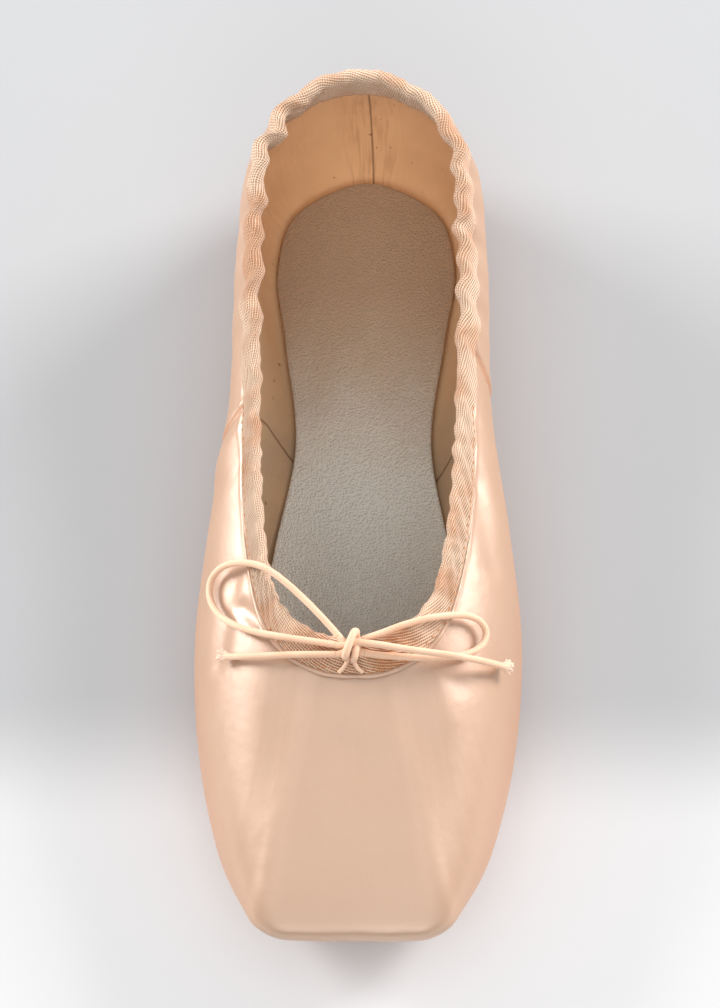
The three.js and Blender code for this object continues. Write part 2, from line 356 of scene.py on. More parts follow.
def joinParts(name, parts, finish, marks=()):
    # several (points, faces, uv) as one object; marks are measures that stay far from any seam
    points = []
    faces = []
    uv = []
    for partPoints, partFaces, partUv in parts:
        start = sum(len(p) for p in points)
        points.append(partPoints)
        faces += [tuple(start + k for k in face) for face in partFaces]
        uv += partUv
    points = np.concatenate(points)
    return makeObject(name, points, faces, finish, uv, {mark: np.full(len(points), 99.0) for mark in marks})


def finished(piece, slot, *nodes):
    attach(piece, "root")
    if nodes:
        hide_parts(*nodes)
    return piece


# drawstring

elastic = {
    "thick": 1.76,  # cord across
    "knot": (-0.6, -45.0, 52.2),
    "core": colour(234, 198, 168),
    # painted shade between the braid's raised strands
    "paintedShade": colour(218, 170, 134),
    "tip": colour(240, 198, 168),
    "tipPale": colour(247, 216, 194),
    "braidPitch": 0.62,
    "strands": 6,  # each way
    "stretched": 0.55,  # radius where it is pulled into the casing
    "tipLength": 3.1,
    "tipThreads": 130,
    "threadRadius": 0.18,
    "step": 0.4,  # along a cord's mesh
}

loopRoutes = {
    "left": [
        (-3.3, -42.8, 51.6), (-6.7, -38.8, 51.4), (-11.5, -33.5, 50.9), (-17.8, -27.3, 49.8),
        (-23.4, -23.3, 48.9), (-29.2, -21.1, 45.6), (-34.2, -20.8, 41.1), (-37.2, -23.4, 38),
        (-37.2, -28.4, 38.1), (-34.3, -33.8, 41), (-29.2, -38, 44.9), (-23.6, -40.6, 47.9),
        (-16.4, -42.5, 49.8), (-10, -43.8, 50.9), (-4, -44.9, 51.4),
    ],
    "right": [
        (2.3, -43.6, 51.6), (7.1, -41.8, 51.3), (13.1, -39.4, 51.1), (19.5, -37.3, 50.1),
        (25.3, -35.7, 47.4), (29.2, -35.2, 45.1), (32, -36, 43.1), (33.4, -38.2, 41.9),
        (32.9, -41, 42.1), (30.9, -43.6, 43.4), (27.6, -45.5, 45.1), (22.8, -46.7, 47.2),
        (16, -47.4, 49), (9, -47.4, 50.2), (2.9, -46.9, 50.8),
    ],
}
tailRoutes = {
    "left": [
        (-3.9, -47.3, 51.1), (-8.5, -47.2, 50.8), (-14.8, -46.9, 49.6), (-20.8, -46.6, 47.9),
        (-26.7, -46, 45.5), (-31, -45.3, 42.9), (-34.3, -44.2, 40.2),
    ],
    "right": [
        (2.9, -44.9, 53.2), (7.1, -45.4, 53.1), (13.2, -46.2, 52.4), (19.5, -46.8, 51.3),
        (25, -47, 49.6), (29.6, -47, 46.9), (33.6, -46.7, 43.2), (36.8, -46.2, 38.9),
        (39.4, -45.6, 34.6),
    ],
}


def elasticFinish():
    finish = newFinish("braided_elastic")
    _, along, around = clothPlace(finish)
    # around is an angle in thousandths: the strands of each way cross once each braid pitch
    turn = fullTurn * mm / elastic["strands"]
    pitch = elastic["braidPitch"] * mm * 2
    right = wave(finish, along, around, pitch, turn)
    left = wave(finish, along, around, pitch, -turn)
    braid = calc(finish, "MAXIMUM", right, left)
    height = timesPlus(finish, speckle(finish, 2600, 2), 0.6, braid)
    patch = times(finish, speckle(finish, 160, 2), 1.1)
    # painted shade in the grooves between the raised strands, lifted in random patches
    paintedShade = timesPlus(finish, ramp(finish, braid, 0.35, 0.95), 0.3, patch)
    tint = mixed(finish, paintedShade, elastic["paintedShade"], elastic["core"])
    return surface(finish, tint, 0.62, {
        "Sheen Weight": 0.25,
        "Sheen Roughness": 0.5,
        "Subsurface Weight": 0.12,
        "Subsurface Radius": (0.0012, 0.0008, 0.0005),
        "Subsurface Scale": 1.0,
        "Normal": bump(finish, height, 0.00004, 0.6),
    })


elasticCord = elasticFinish()


def cordPiece(name, route, radius, tip=False):
    path, travelled = smoothPath(route, elastic["step"])
    size = np.full(len(path), radius)
    if tip:  # the cut end opens a little where the braid has come loose
        size = radius * (1 + 0.28 * hump(travelled, travelled[-1], 1.1))
    piece = joinParts(name, [tubeMesh(path, size)], elasticCord)
    return piece, path, travelled[-1]


def tipped(route):
    # the route without the last bit, which has come undone
    start, end = np.array(route[-2]), np.array(route[-1])
    reach = np.linalg.norm(end - start)
    undone = min(elastic["tipLength"] * 0.8, reach * 0.7)
    return [*route[:-1], tuple(end - (end - start) / reach * undone)]


def frayedTip(route, seed):
    # short loose threads that fan out of the cut end
    path, _ = smoothPath(route, elastic["step"])
    end = path[-1]
    ahead = unit(end - path[-4])
    side = unit(np.cross(ahead, (0, 0, 1.0)))
    top = np.cross(side, ahead)
    random = np.random.default_rng(seed)
    parts = []
    for _ in range(elastic["tipThreads"]):
        turn = random.uniform(0, fullTurn)
        spread = math.sqrt(random.uniform(0, 1))
        reach = random.uniform(0.7, 1.0) * elastic["tipLength"]
        outward = side * math.cos(turn) + top * math.sin(turn) * 0.8
        root = end - ahead * 0.8 + outward * spread * 0.85
        middle = root + ahead * reach * 0.55 + outward * spread * random.uniform(0.3, 0.6)
        curl = side * random.uniform(-0.5, 0.5) + top * random.uniform(-0.4, 0.5)
        last = root + ahead * reach + outward * spread * random.uniform(0.8, 1.3) + curl * 0.6
        strand, _ = smoothPath([root, middle, last], elastic["step"])
        parts.append(tubeMesh(strand, elastic["threadRadius"], 6))
    return parts


def tipFinish():
    finish = newFinish("frayed_elastic")
    tint = mixed(finish, speckle(finish, 1500, 2), elastic["tip"], elastic["tipPale"])
    return surface(finish, tint, 0.75, {
        "Sheen Weight": 0.1,
        "Subsurface Weight": 0.2,
        "Subsurface Radius": (0.001, 0.0008, 0.0006),
        "Subsurface Scale": 1.0,
    })


looseThread = tipFinish()

# the knot's strands: radius, and places measured from the middle of the knot
knotStrands = [
    # the cord's last turn, which passes over the crossing from back to front
    (0.98, [(1.5, 2.7, -1.5), (1.5, 3.3, 0), (1.1, 2.8, 1.1), (0.5, 1.2, 1.8), (-0.2, -0.8, 1.85),
            (-0.8, -2.4, 1.3), (-1.1, -3.2, 0.1), (-0.9, -2.8, -1.4)]),
    # the turn beside it
    (0.86, [(2, 0.4, -0.9), (1.9, -0.7, 0.4), (1.6, -2.1, 0.8), (1.3, -3.4, 0.3), (0.9, -4, -0.9)]),
]
# the two ends of the cord, stretched thin from the knot down into the casing
casingStrands = [
    [(-0.3, -2.9, -1.2), (-0.9, -4.4, -1.7), (-1.7, -5.5, -2.4), (-2.8, -6.4, -3.2)],
    [(0.7, -3.4, -1.2), (1.4, -4.7, -1.9), (2.2, -5.7, -2.6), (3.2, -6.3, -3.3)],
]


def through(fromRoute, toRoute):
    # a strand runs on through the knot, from the end of one route to the start of the next
    before, start = np.array(fromRoute[0], float), np.array(fromRoute[1], float)
    end, after = np.array(toRoute[0], float), np.array(toRoute[1], float)
    reach = np.linalg.norm(end - start)
    t = np.linspace(0, 1, 24)[:, None]
    return hermite(t, start, unit(start - before) * reach, end, unit(after - end) * reach)


def drawstring():
    centre = np.array(elastic["knot"])
    radius = elastic["thick"] / 2
    parts = []
    for thick, strand in knotStrands:
        path, _ = smoothPath(centre + np.array(strand), 0.25)
        parts.append(tubeMesh(path, thick, 20))
    left, right = loopRoutes["left"], loopRoutes["right"]
    tailLeft, tailRight = tailRoutes["left"], tailRoutes["right"]
    crossings = [(left[-2:], tailRight[:2]), (left[1::-1], right[:-3:-1]), (tailLeft[1::-1], right[:2])]
    for start, end in crossings:
        parts.append(tubeMesh(through(start, end), radius))
    for strand in casingStrands:
        path, _ = smoothPath(centre + np.array(strand), 0.3)
        parts.append(tubeMesh(path, elastic["stretched"], 12))
    knot = finished(joinParts("elastic_knot", parts, elasticCord), "elastic", "drawstring_knot")
    for side, route in loopRoutes.items():
        piece, path, length = cordPiece(f"elastic_loop_{side}", route, radius)
        finished(piece, "elastic", f"drawstring_loop_{side}")
        print(f"loop {side}: {length:.0f} mm of cord")
    for side, route in tailRoutes.items():
        piece, path, length = cordPiece(f"elastic_tail_{side}", tipped(route), radius, tip=True)
        finished(piece, "elastic", f"drawstring_tail_{side}")
        tip = joinParts(f"elastic_tip_{side}", frayedTip(tipped(route), len(side)), looseThread)
        finished(tip, "elastic")
        print(f"tail {side}: {length:.0f} mm of cord")


drawstring()


# the shoe's own surface

# Each table has a row for each place round the shoe, from 0 at the middle of the toe to 100 at the middle
# of the heel, for one side; the other side mirrors it. Columns are named above the rows.

def table(rows, firstIsOut=True):
    rows = np.array(rows, float)
    place = rows[:, 0]
    values = rows[:, 1:]
    mirror = np.ones(values.shape[1])
    if firstIsOut:
        mirror[0] = -1
    places = np.concatenate([[-place[1]], place, [200 - place[-2]]])
    padded = np.concatenate([[values[1] * mirror], values, [values[-2] * mirror]])
    before, here, after = places[:-2], places[1:-1], places[2:]
    low = (padded[1:-1] - padded[:-2]) / (here - before)[:, None]
    high = (padded[2:] - padded[1:-1]) / (after - here)[:, None]
    weight = ((here - before) / (after - before))[:, None]
    slope = low * (1 - weight) + high * weight

    def read(at):
        at = np.clip(np.asarray(at, float), 0, 100)
        k = np.clip(np.searchsorted(place, at, side="right") - 1, 0, len(place) - 2)
        width = (place[k + 1] - place[k])[:, None]
        t = (at - place[k])[:, None] / width
        made = hermite(t, values[k], width * slope[k], values[k + 1], width * slope[k + 1])
        return [made[:, c : c + 1] for c in range(made.shape[1])]

    return read


girth = table([  # at, out, back, up: the widest line of the upper
    (0, 0, 0, 29), (4.4, 12, 0, 29), (7.3, 20, 0.9, 29), (9.4, 24.8, 4, 28), (11.6, 27.8, 9, 26),
    (15.5, 32.6, 18.6, 22), (22, 37.8, 36, 19), (31, 41.6, 60, 18), (39, 42.3, 82, 19.5),
    (48.6, 39.4, 108, 25), (60, 34.8, 138, 30), (77, 32.6, 186, 31), (85, 30.6, 206.5, 30),
    (92, 21.6, 222, 29), (100, 0, 230, 28),
])
topline = table([  # at, out, back, up, turn: the edge of the opening, and the slope of the wall there
    (0, 0, 71, 48.5, 90), (7.3, 7.8, 71.9, 48.4, 90), (11.6, 13.8, 75, 48.1, 90),
    (16, 17.8, 78.8, 47.8, 90), (22, 21.2, 84.5, 47, 88), (31, 24, 96, 45.6, 82),
    (39, 25.6, 109, 44.4, 74), (48.6, 26.8, 126, 43.2, 64), (60, 27.4, 146, 42.9, 56),
    (77, 27.4, 188, 50.2, 50), (85, 25.6, 206, 55, 50), (92, 16.6, 219.2, 57.6, 50),
    (100, 0, 225.4, 58.6, 50),
])
margin = table([  # at, out, back: the turned-in edge under the foot
    (0, 0, 36), (9.4, 13.5, 41), (15.5, 17.5, 51), (31, 19, 74), (48.6, 12.5, 113), (60, 8.8, 139),
    (77, 12.3, 184), (88, 9.5, 199.5), (100, 0, 204.5),
])
wall = table([  # at, feather, tuck, lean, shoulder, lower square, upper square, thick
    (0, 5, 7, 0.5, 34.5, 6, 5, 6), (7.3, 5, 6.8, 1, 34.3, 6, 4.6, 5.5),
    (11.6, 4.7, 5.6, 3.2, 34.6, 6, 4, 4.2), (22, 3.6, 5.5, 6.4, 38, 6, 3.6, 3.2),
    (31, 3.2, 6.5, 6.4, 40.5, 6, 3.2, 2.8), (48.6, 3.1, 11, 3, 40.5, 6.5, 2.6, 1.9),
    (60, 3, 12.6, 1.5, 41, 7, 2.4, 1.5), (77, 3, 4.5, 1, 48.5, 7, 2.2, 1.5),
    (100, 3, 6.2, 1, 57, 7, 2.2, 1.5),
], firstIsOut=False)

lastShape = {
    "footUp": 2.7,  # underside of the turned-in margin
    "marginThick": 1.3,
    "edgeThick": 1.3,  # wall at the topline
    "flare": 1.35,  # how fast the wall comes out from the sole
}


def runOf(read, at):
    # which way a table's line runs at each place, column by column
    behind = read(np.clip(at - 0.05, 0, 100))
    ahead = read(np.clip(at + 0.05, 0, 100))
    return [a - b for a, b in zip(ahead, behind)]


def squaredArc(t, square):
    # across and rise of a squared-off quarter turn, t from 0 to 2
    corner = 0.5 ** (1 / square)
    first = np.clip(t, 0, 1) * corner
    second = np.clip(2 - t, 0, 1) * corner
    across = np.where(t <= 1, first, (1 - second**square) ** (1 / square))
    rise = np.where(t <= 1, 1 - (1 - first**square) ** (1 / square), 1 - second)
    return across, rise


def halfWall(at, climb, edge=None):
    # points of one side of the upper, places at down the rows and climb across:
    # climb -1 is the margin under the foot, 0 the widest line, 1 the topline. edge gives the inside wall.
    sideOut, sideBack, sideUp = (part.copy() for part in girth(at))
    topOut, topBack, topUp, turn = topline(at)
    footOut, footBack = margin(at)
    feather, tuck, lean, shoulder, lowerSquare, upperSquare, thick = wall(at)
    runOut, runBack, _ = runOf(girth, at)
    run = np.hypot(runOut, runBack)
    intoOut = -runBack / run
    intoBack = runOut / run
    footUp = lastShape["footUp"]
    if edge is not None:
        sideOut += intoOut * thick
        sideBack += intoBack * thick
        footUp += lastShape["marginThick"]
        feather = feather + lastShape["marginThick"]
        shoulder = shoulder - thick
        topOut, topBack, topUp = edge
    low = climb[climb < 0]
    high = climb[climb >= 0]
    across, rise = squaredArc(2 * (low + 1)[None] * np.ones_like(sideOut), lowerSquare)
    tucked = tuck * across * (1 - rise) ** lastShape["flare"]
    lower = [footOut + (sideOut - footOut) * across + intoOut * tucked,
             footBack + (sideBack - footBack) * across + intoBack * tucked,
             footUp + (feather - footUp) * across + (sideUp - feather) * rise]
    corner = 0.5 ** (1 / upperSquare)
    end = 2 - np.clip(np.cos(np.radians(turn)), 0, 1) ** (2 / upperSquare) / corner
    rise, across = squaredArc(high[None] * end, upperSquare)
    topRise, topAcross = squaredArc(end, upperSquare)
    rise = rise / topRise
    across = across / topAcross
    leaned = lean * rise**1.5 * (1 - across)
    upper = [sideOut + (topOut - sideOut) * across + intoOut * leaned,
             sideBack + (topBack - sideBack) * across + intoBack * leaned,
             sideUp + (shoulder - sideUp) * rise + (topUp - shoulder) * across]
    grid = np.stack([np.concatenate(pair, 1) for pair in zip(lower, upper)], -1)
    grid[..., 1] += toeEnd
    return grid


def edgeFrame(at):
    # at the topline: the point, the way up the wall, and the way out of it
    close = halfWall(at, np.array([0.96, 1.0]))
    upward = unit(close[:, 1] - close[:, 0])
    run = unit(np.concatenate(runOf(topline, at)[:3], 1))
    outward = unit(np.cross(upward, run))
    outward *= np.where(outward[:, 2:] < 0, -1, 1)
    return close[:, 1], upward, outward, run


def insideEdge(at):
    point, _, outward, _ = edgeFrame(at)
    inner = point - outward * lastShape["edgeThick"]
    inner[:, 1] -= toeEnd
    return [inner[:, k : k + 1] for k in range(3)]


def wallGrid(around, climb, inside=False):
    # the whole ring: around 0-200, 0 at the toe, 100 at the heel, right side first
    at = oneSide(around)
    grid = halfWall(at, climb, insideEdge(at) if inside else None)
    grid[..., 0] *= sideOf(around)[:, None]
    return grid


def mirrored(vectors, around):
    made = vectors.copy()
    made[:, 0] *= sideOf(around)
    return made


# gathers, creases and seams

gathers = {
    "reach": 10.5,  # how far down the wall a fold fades out
    "width": 1.05,  # half-width of a fold, in places round the shoe
    "drop": 0.22,  # how far a fold pulls the edge down, for each millimetre in or out
    "middle": (0, 30),  # of the opening's back half, x and y
    # at, push: folds of the gathered edge, outward or inward
    "right": [(97, 0.3), (94.2, -0.4), (91.8, 0.5), (89.4, 0.8), (87.2, -0.5), (84.9, 1.2), (82.7, -0.8),
              (80.9, 0.5), (79.2, -0.3), (77.3, 0.9), (75.8, -1.2), (73.8, 0.6), (72.2, -0.3), (70.7, 0.9),
              (69.1, -0.7), (67.2, 1.2), (64.4, -0.5), (61, 0.4), (56.8, -0.25), (52.6, 0.3), (48, -0.2)],
    "left": [(95.2, 0.5), (92.3, -0.7), (89.8, 1.2), (87.5, -2.1), (85.3, 1.2), (83.4, -0.4), (81.0, 0.6),
             (78.9, -0.9), (76.9, 0.9), (75.0, -0.4), (73.2, 0.4), (71.3, -1.0), (68.9, 1.1), (66.6, -0.5),
             (63.6, 0.4), (59.4, -0.4), (54.6, 0.3), (50.0, -0.2)],
}


def gatherPush(around):
    at = oneSide(around)
    total = np.zeros_like(at)
    for key, own in (("right", around <= 100), ("left", around > 100)):
        for place, push in gathers[key]:
            width = gathers["width"] * (0.85 if push < 0 else 1.1)
            total += np.where(own, push * hump(at, place, width), 0)
    return total


def gatherShift(around, below):
    # how far each point moves, for any layer at that place and depth below the topline
    _, _, _, run = edgeFrame(oneSide(around))
    plan = unit(mirrored(np.stack([run[:, 1], -run[:, 0], 0 * run[:, 0]], 1), around))
    # the level direction that points away from the opening
    fromMiddle = wallGrid(around, np.array([-1.0, 1.0]))[:, 1, :2] - gathers["middle"]
    toOutside = np.sum(plan[:, :2] * fromMiddle, axis=1)
    plan *= np.where(toOutside < 0, -1, 1)[:, None]
    push = gatherPush(around)
    fade = hump(np.maximum(below, 0), 0, gathers["reach"])
    shift = plan[:, None] * (push[:, None] * fade)[..., None]
    shift[..., 2] -= gathers["drop"] * np.abs(push)[:, None] * fade
    return shift


creases = [  # from x, back, to x, back, depth, width: soft troughs (+) and ridges (-) on top of the shoe
    (-29, 83, -15, 69.5, 1.1, 2), (-15, 69.5, -3, 66.5, 0.6, 1.8), (-14, 64, -2, 61.5, -0.3, 2.8),
    (-15, 60, -9, 53, 0.2, 2.4), (-9, 56, 4, 53, -0.22, 5), (12, 64, 15, 50, 0.25, 3.6),
    (19, 64, 24, 55, -0.22, 4.2), (15, 70.5, 27, 63, 0.28, 2.6), (-22, 52, -23, 34, 0.16, 6.5),
    (20, 44, 19, 24, 0.16, 6.5), (-3, 46, 6, 40, 0.22, 5), (-31, 92, -35, 70, 0.8, 2.6),
    (31, 118, 35, 96, 0.45, 2.8),
]
creasesAbove = 27  # height from which the satin creases


def creaseDepth(points):
    # how far the satin drops at each point
    total = np.zeros(points.shape[:-1])
    place = points[..., :2] - np.array([0, toeEnd])
    for x, back, toX, toBack, depth, width in creases:
        start = np.array([x, back])
        line = np.array([toX, toBack]) - start
        along = share((place - start) @ line, 0, line @ line)
        away = np.linalg.norm(place - start - along[..., None] * line, axis=-1)
        total += depth * hump(away, 0, width)
    return total * (points[..., 2] > creasesAbove)


seams = {
    # where the vamp meets the quarters outside: heights up the wall, and how far back the seam is there
    "sideUp": (5, 28, 36, 45),
    "sideRight": (141, 144, 149, 158),
    "sideLeft": (128, 131, 135, 142),
    # the lining's side seams: how far out from the middle, and how far back the seam is there
    "liningOut": (18, 26),
    "liningRight": (128.8, 139.0),
    "liningLeft": (135.6, 144.5),
    "heelSeam": 1.6,  # the lining's back seam is a little right of centre
}

pleats = {
    "each": 2.9,  # a pleat each so many places round the toe
    "last": 29,  # where the pleats end
    "fade": 4,  # over how much they end
    "depth": 0.62,
}


def pleatHeight(around, climb):
    at = oneSide(around)
    inside = share(at, pleats["last"], pleats["last"] - pleats["fade"])
    phase = at / pleats["each"] * fullTurn
    # a pleat lies over to one side: steep in front, long behind
    ridge = np.sin(phase + 0.6 * np.sin(phase)) * inside
    reach = np.interp(climb, [-1, -0.9, -0.62, -0.42, 0], [1, 1, 0.8, 0, 0])
    return pleats["depth"] * ridge[:, None] * reach[None]


# how far the binding tape reaches down each side of the wall, by place round the shoe
tapeReach = {
    "place": (0, 46, 56, 84, 92, 100),
    "outRight": (7.5, 7.5, 5.0, 4.4, 7.0, 7.5),
    "outLeft": (7.5, 6.0, 4.4, 4.4, 7.0, 7.5),
    "inside": (6.5, 6.5, 6.5, 6.5, 9.0, 9.6),
    "standOff": (0, 0, 0, 0, 1.0, 1.3),  # the inside edge hangs free of the lining at the heel
}


def reachOf(around, key):
    if key == "outside":
        return np.where(around > 100, reachOf(around, "outLeft"), reachOf(around, "outRight"))
    return np.interp(oneSide(around), tapeReach["place"], tapeReach[key])


def satinSurface(around, climb):
    base = wallGrid(around, climb)
    facing = normalsOf(base)
    length = lengths(base, 1)
    below = length[:, -1:] - length
    moved = base + facing * (0.12 + pleatHeight(around, climb) - creaseDepth(base))[..., None]
    back = base[..., 1] - toeEnd
    # the folded satin edge stands up beside the tape, most of all on the vamp
    edge = reachOf(around, "outside")[:, None] + 1.1
    lip = 0.3 * hump(below, edge, 0.8) * share(back, 150, 120)
    # the heel is a little full below the tape
    full = 0.7 * hump(below, 14, 6) * share(back, 150, 180)
    up = base[..., 2]
    right = np.interp(up, seams["sideUp"], seams["sideRight"])
    left = np.interp(up, seams["sideUp"], seams["sideLeft"])
    sideSeam = back - np.where(base[..., 0] > 0, right, left)
    # the quarter's folded edge lies over the vamp's, and gapes a little near the tape
    overlap = hump(np.maximum(sideSeam, 0), 0, 5) * stepUp(sideSeam, 0.22)
    groove = np.clip((up - 26) / 10, 0.25, 1) * (0.75 * overlap - 0.45 * hump(sideSeam, -0.7, 0.8))
    # on the left the vamp springs out beside the tape
    groove += 0.9 * hump(sideSeam, -6, 5) * (base[..., 0] < 0) * share(up, 18, 28)
    heelSeam = np.where(back > 150, base[..., 0], 99)
    groove -= 0.35 * hump(heelSeam, 0, 0.6)
    groove *= up > 6
    moved += facing * (lip + full + groove)[..., None]
    moved += gatherShift(around, below)
    return moved, sideSeam, heelSeam


satin = {
    "around": 480,
    "rows": (34, 56),  # below the widest line, and above it
    "skin": 0.5,
    "base": colour(181, 144, 115),
    "light": colour(189, 154, 127),
    "seamShade": colour(186, 120, 76),  # painted shade in the seam grooves
    "low": colour(176, 106, 62),  # painted shade and a painted warm reflection, low on the wall where it meets the sole
    "lowShadeFrom": (0.007, 0.032),  # heights where that is full and where it ends, in metres
    "threads": (2400, 2600),  # lengthwise and crosswise, to a metre
    "rough": (0.35, 0.42),
}


def satinFinish():
    finish = newFinish("peach_satin")
    place, _, _ = clothPlace(finish)
    lengthwise, crosswise = satin["threads"]
    threads = speckle(finish, lengthwise, 2, (1, 0.1, 1), place)
    crossThreads = speckle(finish, crosswise, 1, (0.25, 1, 1), place)
    weave = timesPlus(finish, crossThreads, 0.5, threads)
    cloud = timesPlus(finish, speckle(finish, 110, 3), 0.35, times(finish, speckle(finish, 26, 3), 0.65))
    tint = mixed(finish, ramp(finish, cloud, 0.3, 0.7, 0.15, 0.6), satin["base"], satin["light"])
    # painted shade along the side and heel seam grooves
    sideSeam = nearSeam(finish, "sideSeam", 0.15, 0.7)
    seam = calc(finish, "MAXIMUM", sideSeam, nearSeam(finish, "heelSeam", 0.15, 0.6))
    tint = mixed(finish, times(finish, seam, 0.6), tint, satin["seamShade"])
    height = ownAxis(finish, 2)
    # painted shade with a warm painted reflection, strongest low on the wall and gone by 32 mm up
    tint = mixed(finish, ramp(finish, height, *satin["lowShadeFrom"], 0.85, 0.0), tint, satin["low"])
    rough = ramp(finish, speckle(finish, 60, 3), 0.3, 0.7, *satin["rough"])
    tangent = addNode(finish, "Tangent", {}, direction_type="UV_MAP", uv_map="cloth").outputs[0]
    drape = bump(finish, speckle(finish, 240, 2), 0.0004, 0.25)
    return surface(finish, tint, rough, {
        "Metallic": 0.08,
        "IOR": 1.9,
        "Specular IOR Level": 0.95,
        "Specular Tint": colour(255, 241, 232),
        "Anisotropic": 0.5,
        "Tangent": tangent,
        "Sheen Weight": 0.12,
        "Sheen Roughness": 0.35,
        "Sheen Tint": colour(255, 214, 184),
        "Normal": bump(finish, weave, 0.00005, 0.55, drape),
    })


peachSatin = satinFinish()


def stations(count):
    # evenly spaced places round the whole shoe
    return np.arange(count) * 200 / count


def climbs(low, rows):
    # places up the wall: from low on the margin to the widest line, then on to the topline
    return np.concatenate([np.linspace(low, 0, rows[0], endpoint=False), np.linspace(0, 1, rows[1])])


def makeSatin():
    around = stations(satin["around"])
    outer, sideSeam, heelSeam = satinSurface(around, climbs(-1, satin["rows"]))
    inner = outer - normalsOf(outer) * satin["skin"]
    measures = {"sideSeam": sideSeam, "heelSeam": heelSeam}
    piece = sheetObject("satin_upper", outer, inner, peachSatin, measures)
    finished(piece, "satin", "upper")
    print("satin upper:", len(piece.data.polygons), "faces")


makeSatin()


# lining

lining = {
    "around": 400,
    "rows": (26, 44),
    "skin": 0.35,
    "pitch": 0.6,  # of its threads
    "length": 40,  # that a thread keeps its line
    # front and heel tones; the heel's is lifted as painted light against the shade inside the heel
    "front": colour(170, 144, 115),
    "heel": colour(244, 200, 153),
    "mottle": colour(216, 170, 122),
    "speck": colour(134, 80, 48),
    "drawn": colour(164, 104, 60),  # painted shade in the short upright wrinkles beside the back seam
    "seam": colour(122, 82, 50),
}


def liningFinish():
    finish = newFinish("cotton_lining")
    place, along, across = clothPlace(finish)
    pitch = lining["pitch"] * mm
    length = lining["length"] * mm
    lengthwise = wave(finish, along, across, pitch, length)
    ribs = times(finish, lengthwise, wave(finish, along, across, length, pitch))
    height = timesPlus(finish, speckle(finish, 900, 3), 0.8, ribs)
    sideSeam = measure(finish, "sideSeam")
    # lighter from the side seams back towards the heel: painted light against the shade inside the heel
    tint = mixed(finish, ramp(finish, sideSeam, -4, 58), lining["front"], lining["heel"])
    tint = mixed(finish, ramp(finish, speckle(finish, 70, 4), 0.3, 0.7, 0.0, 0.32), tint, lining["mottle"])
    # painted shade in short upright streaks beside the back seam
    drawn = ramp(finish, speckle(finish, 1100, 3, (1, 0.07, 1), place), 0.46, 0.66, 0.0, 0.28)
    tint = mixed(finish, times(finish, nearSeam(finish, "heelSeam", 2, 11), drawn), tint, lining["drawn"])
    specks = ramp(finish, speckle(finish, 560, 1, rough=0.2), 0.78, 0.81)
    tint = mixed(finish, times(finish, specks, 0.7), tint, lining["speck"])
    heelSeam = nearSeam(finish, "heelSeam", 0.05, 0.4, 0.85)
    seam = calc(finish, "MAXIMUM", nearSeam(finish, "sideSeam", 0.1, 0.8), heelSeam)
    tint = mixed(finish, times(finish, seam, 0.8), tint, lining["seam"])
    wrinkles = times(finish, speckle(finish, 420, 2, (1, 0.1, 1), place), ramp(finish, sideSeam, 8, 44))
    grain = bump(finish, height, 0.0001, 0.5, bump(finish, wrinkles, 0.0009, 0.6))
    dips = bump(finish, less(finish, 1.0, seam), 0.0004, 0.6, grain)
    return surface(finish, tint, 0.82, {
        "Sheen Weight": 0.12,
        "Specular IOR Level": 0.3,
        "Normal": dips,
    })


cottonLining = liningFinish()


def liningSurface(around, climb):
    base = wallGrid(around, climb, inside=True)
    facing = -normalsOf(base)
    length = lengths(base, 1)
    below = length[:, -1:] - length
    back = base[..., 1] - toeEnd
    up = base[..., 2]
    out = np.where(up > 26, seams["liningOut"][1], np.abs(base[..., 0]))
    right = np.interp(out, seams["liningOut"], seams["liningRight"])
    left = np.interp(out, seams["liningOut"], seams["liningLeft"])
    sideSeam = back - np.where(base[..., 0] > 0, right, left)
    heelSeam = np.where(back > 150, base[..., 0] - seams["heelSeam"], 99)
    # the stiff front lining ends over the softer quarter
    front = 0.3 * stepUp(-sideSeam, 0.25)
    ease = 0.25 * hump(heelSeam, 0, 1.4)
    moved = base + facing * (front + ease - 0.1)[..., None]
    moved += gatherShift(around, below)
    return moved, sideSeam, heelSeam


def makeLining():
    around = stations(lining["around"])
    inner, sideSeam, heelSeam = liningSurface(around, climbs(-0.96, lining["rows"]))
    outer = inner + normalsOf(inner) * lining["skin"]
    measures = {"sideSeam": sideSeam, "heelSeam": heelSeam}
    piece = sheetObject("cotton_lining", outer, inner, cottonLining, measures)
    finished(piece, "lining")
    print("lining:", len(piece.data.polygons), "faces")


makeLining()


# binding tape

tape = {
    "around": 760,
    "thick": 0.62,
    "slack": 0.2,
    "swell": 0.42,  # how much further it stands off at the top, with the cord inside
    "ribPitch": 0.74,
    "yarnPitch": 0.7,
    "pale": colour(248, 223, 194),
    # painted shade in the holes, between the ribs, in random pucker patches and at the throat
    "valleyShade": colour(206, 136, 84),
}


